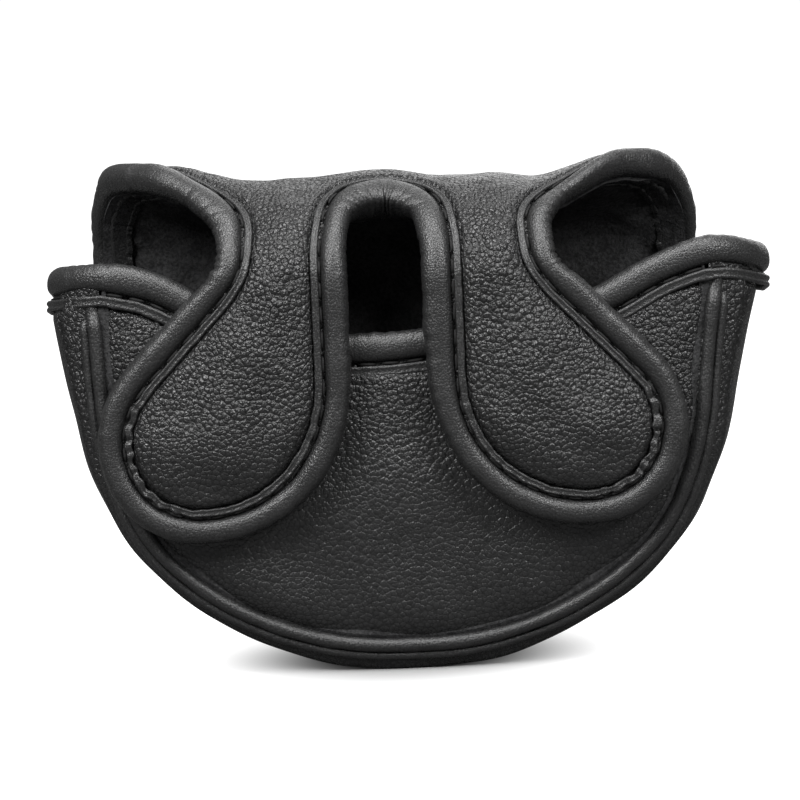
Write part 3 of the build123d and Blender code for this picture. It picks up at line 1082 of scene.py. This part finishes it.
class HEADCOVER_OT_piping(bpy.types.Operator):
    """Adds the corded piping in the gusset's two seams, and the sewn edge beside each"""

    bl_idname = "head_cover.piping"
    bl_label = "Piping"

    def execute(self, context):
        radius, reach = sizes().piping_radius / MM, SIDE.length - 2.2
        a = np.arange(-reach, reach, 0.6)
        line = np.stack([a, np.zeros(len(a))], 1)
        inset = seam_inset(np.abs(a))
        tuck = smooth(np.abs(a), reach - 6.0, reach - 2.0)
        seams = (("front", FRONT_SEAM, 1.1), ("back", BACK_SEAM, -1.1))
        for k, (name, y, inward) in enumerate(seams):
            swell = waves(a, line[:, 1], 7.0, sizes().seed + 60 + k) * 0.04
            across, rise = y + inward * (0.7 + tuck), 2.05 - inset - 0.8 * tuck
            edge = cord_section(0.72 * radius * (1 + 1.5 * swell), across, rise)
            welt = bar(f"{name}_welt", SIDE, line, edge, smooth_leather(), around=14)
            cord = cord_section(radius * (1 + swell), y + tuck * inward, -inset)
            piping = bar(f"{name}_piping", SIDE, line, cord, smooth_leather(), around=18)
            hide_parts(f"{name}_piping_cover", f"{name}_piping_cord")
            for piece in (welt, piping):
                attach(piece, "pouch")
        return {"FINISHED"}


class HEADCOVER_OT_mouth_binding(bpy.types.Operator):
    """Adds the padded roll, hem and stitches round the pouch's mouth"""

    bl_idname = "head_cover.mouth_binding"
    bl_label = "Mouth Binding"

    def execute(self, context):
        line = mouth_line()[::-1]  # from right to left, with the leather on its left
        fuller = 0.7 + 0.25 * smooth(line[:, 0], 42.0, 66.0)
        seed = sizes().seed + 300
        skin, along = smooth_leather(), length_along(line)
        hem = hem_section(line, seed, half=1.1, across=4.1)
        roll = roll_section(line, seed, 0.4, lean=fuller)
        strip = hem_section(line, seed + 40, across=3.3, height=-2.7, half=1.6, up=-1)

        def tucked_roll(i, angle):
            across, height = roll(i, angle)
            from_end = np.clip(np.minimum(along[i], along[-1] - along[i]) / 3.5, 0, 1)
            size = np.maximum(np.sqrt(1 - (1 - from_end) ** 2), 0.2)
            return across * size, height * size

        def outer_hem(i, angle):
            across, height = hem(i, angle)
            return across, height + 0.45 * smooth(np.abs(line[i, 0]), 54.0, 64.0)

        pieces = [
            bar("mouth_edge_roll", mouth_wall, line, tucked_roll, skin, around=36),
            bar("mouth_edge_hem", mouth_wall, line, outer_hem, skin, around=20),
            bar("mouth_edge_inner_strip", mouth_wall, line, strip, skin, around=12),
            stitch_row("mouth_edge_stitches", mouth_wall, line, STITCH_AT, STITCH_HEIGHT, thread()),
        ]
        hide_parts("mouth_binding_cover", "mouth_binding_core")
        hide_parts("mouth_stitching")
        for piece in pieces:
            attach(piece, "pouch")
        return {"FINISHED"}


class HEADCOVER_OT_magnets(bpy.types.Operator):
    """Gives the magnets that lie in the padding their finish"""

    bl_idname = "head_cover.magnets"
    bl_label = "Magnets"

    def execute(self, context):
        for name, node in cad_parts.items():
            if name.endswith("magnet"):
                node.data.materials.clear()
                node.data.materials.append(nickel())
        return {"FINISHED"}


# ---------------------------------------------------------------- stage
# The camera's angles in degrees, its distance in metres and its lens in millimetres.
CAMERA_AZIMUTH = 1.0
CAMERA_ELEVATION = 5.6
CAMERA_ROLL = 2.43
CAMERA_DISTANCE = 0.65
CAMERA_LENS = 145.8
CAMERA_TARGET = Vector((0.0001, 0.0, 0.0520))
# Each soft box: name, place and side in metres, and power in watts.
SOFT_BOXES = [
    ("soft_box_top", (0.0, -0.18, 0.78), 0.5, 7.2),
    ("soft_box_left", (-0.46, -0.60, 0.62), 0.36, 8.0),
    ("soft_box_right", (0.50, -0.58, 0.60), 0.36, 6.5),
    ("soft_box_back", (0.25, 0.75, 0.45), 0.7, 2.6),
]
LIT_POINT = Vector((0, 0, 0.05))
WHITE = (1.0, 1.0, 1.0, 1.0)


class HEADCOVER_OT_stage(bpy.types.Operator):
    """Adds the floor, the lights and the camera"""

    bl_idname = "head_cover.stage"
    bl_label = "Stage"

    def camera(self):
        azimuth, elevation = radians(CAMERA_AZIMUTH), radians(CAMERA_ELEVATION)
        back = Vector((sin(azimuth) * cos(elevation), -cos(azimuth) * cos(elevation), sin(elevation)))
        right = Vector((0, 0, 1)).cross(back).normalized()
        up = back.cross(right)
        turn = Matrix.Rotation(-radians(CAMERA_ROLL), 3, "Z")
        axes = Matrix((right, up, back)).transposed() @ turn
        data = bpy.data.cameras.new("camera")
        data.lens = CAMERA_LENS
        data.sensor_width = 36.0
        data.clip_start = 0.01
        camera = bpy.data.objects.new("camera", data)
        camera.matrix_world = Matrix.Translation(CAMERA_TARGET + back * CAMERA_DISTANCE) @ axes.to_4x4()
        bpy.context.scene.collection.objects.link(camera)
        bpy.context.scene.camera = camera

    def paper(self, tree, place):
        """White paper that glows away from the object, a painted light that hides the horizon and
        the lamps' shadows away from the contact shadow. It throws little light back at the leather."""
        white = mixed_colour(tree, noise(tree, place, 40.0, 2.0, 0.5), (0.29,) * 3, (0.31,) * 3)
        to_camera = tree.nodes.new("ShaderNodeLightPath").outputs["Is Camera Ray"]
        shades = {"Factor": to_camera, "A": (0.10, 0.10, 0.10, 1.0), "B": white}
        reach = new_node(tree, "ShaderNodeVectorMath", {0: place}, operation="LENGTH").outputs["Value"]
        # Painted light: the paper glows more the farther it lies from the object, which whitens the
        # lamps' shadows there.
        glow = remap(tree, reach, 0.012, 0.052, 0.0, 1.2)
        return {
            "Base Color": new_node(tree, "ShaderNodeMix", shades, data_type="RGBA").outputs["Result"],
            "Roughness": 0.9,
            "Specular IOR Level": 0.1,
            "Emission Strength": times(tree, glow, to_camera),
            "Emission Color": WHITE,
        }

    def studio(self):
        """A dim room to light by, behind a white backdrop that only the camera sees."""
        world = bpy.data.worlds.new("studio")
        world.use_nodes = True
        tree = world.node_tree
        room = fill(tree, tree.nodes["Background"], {"Color": WHITE, "Strength": 0.21})
        backdrop = new_node(tree, "ShaderNodeBackground", {"Color": WHITE, "Strength": 1.05})
        to_camera = tree.nodes.new("ShaderNodeLightPath").outputs["Is Camera Ray"]
        ends = {0: to_camera, 1: room.outputs[0], 2: backdrop.outputs[0]}
        seen = new_node(tree, "ShaderNodeMixShader", ends)
        fill(tree, tree.nodes["World Output"], {"Surface": seen.outputs[0]})
        return world

    def soft_box(self, name, place, side, power):
        data = bpy.data.lights.new(name, "AREA")
        data.shape = "RECTANGLE"
        data.size = data.size_y = side
        data.energy = power
        light = bpy.data.objects.new(name, data)
        light.rotation_euler = (LIT_POINT - Vector(place)).to_track_quat("-Z", "Y").to_euler()
        light.location = place
        bpy.context.scene.collection.objects.link(light)

    def execute(self, context):
        bm = bmesh.new()
        bmesh.ops.create_grid(bm, x_segments=1, y_segments=1, size=6.0)
        finished("floor", bm, finish("white_paper", self.paper))
        context.scene.world = self.studio()
        for box in SOFT_BOXES:
            self.soft_box(*box)
        context.scene.view_settings.view_transform = "Standard"
        self.camera()
        return {"FINISHED"}


class HEADCOVER_PT_panel(bpy.types.Panel):
    """Lists the cover's pieces in the sidebar"""

    bl_idname = "HEADCOVER_PT_panel"
    bl_label = "Head Cover"
    bl_space_type = "VIEW_3D"
    bl_region_type = "UI"
    bl_category = "Head Cover"

    def draw(self, context):
        for group in (context.scene.head_cover_sizes, context.scene.head_cover_colours):
            for name in group.bl_rna.properties.keys():
                if name not in ("rna_type", "name"):
                    self.layout.prop(group, name)
        for operator in OPERATORS:
            self.layout.operator(operator.bl_idname)


OPERATORS = [
    HEADCOVER_OT_upper_leather,
    HEADCOVER_OT_upper_lining,
    HEADCOVER_OT_upper_binding,
    HEADCOVER_OT_front_panel,
    HEADCOVER_OT_gusset,
    HEADCOVER_OT_piping,
    HEADCOVER_OT_mouth_binding,
    HEADCOVER_OT_magnets,
    HEADCOVER_OT_stage,
]
CLASSES = [HeadCoverSizes, HeadCoverColours, *OPERATORS, HEADCOVER_PT_panel]


def register():
    for item in CLASSES:
        bpy.utils.register_class(item)
    bpy.types.Scene.head_cover_sizes = PointerProperty(type=HeadCoverSizes)
    bpy.types.Scene.head_cover_colours = PointerProperty(type=HeadCoverColours)


def unregister():
    del bpy.types.Scene.head_cover_colours
    del bpy.types.Scene.head_cover_sizes
    for item in reversed(CLASSES):
        bpy.utils.unregister_class(item)


def main():
    register()
    bpy.ops.head_cover.upper_leather()
    bpy.ops.head_cover.upper_lining()
    bpy.ops.head_cover.upper_binding()
    bpy.ops.head_cover.front_panel()
    bpy.ops.head_cover.gusset()
    bpy.ops.head_cover.piping()
    bpy.ops.head_cover.mouth_binding()
    bpy.ops.head_cover.magnets()
    bpy.ops.head_cover.stage()


if __name__ == "__main__":
    main()
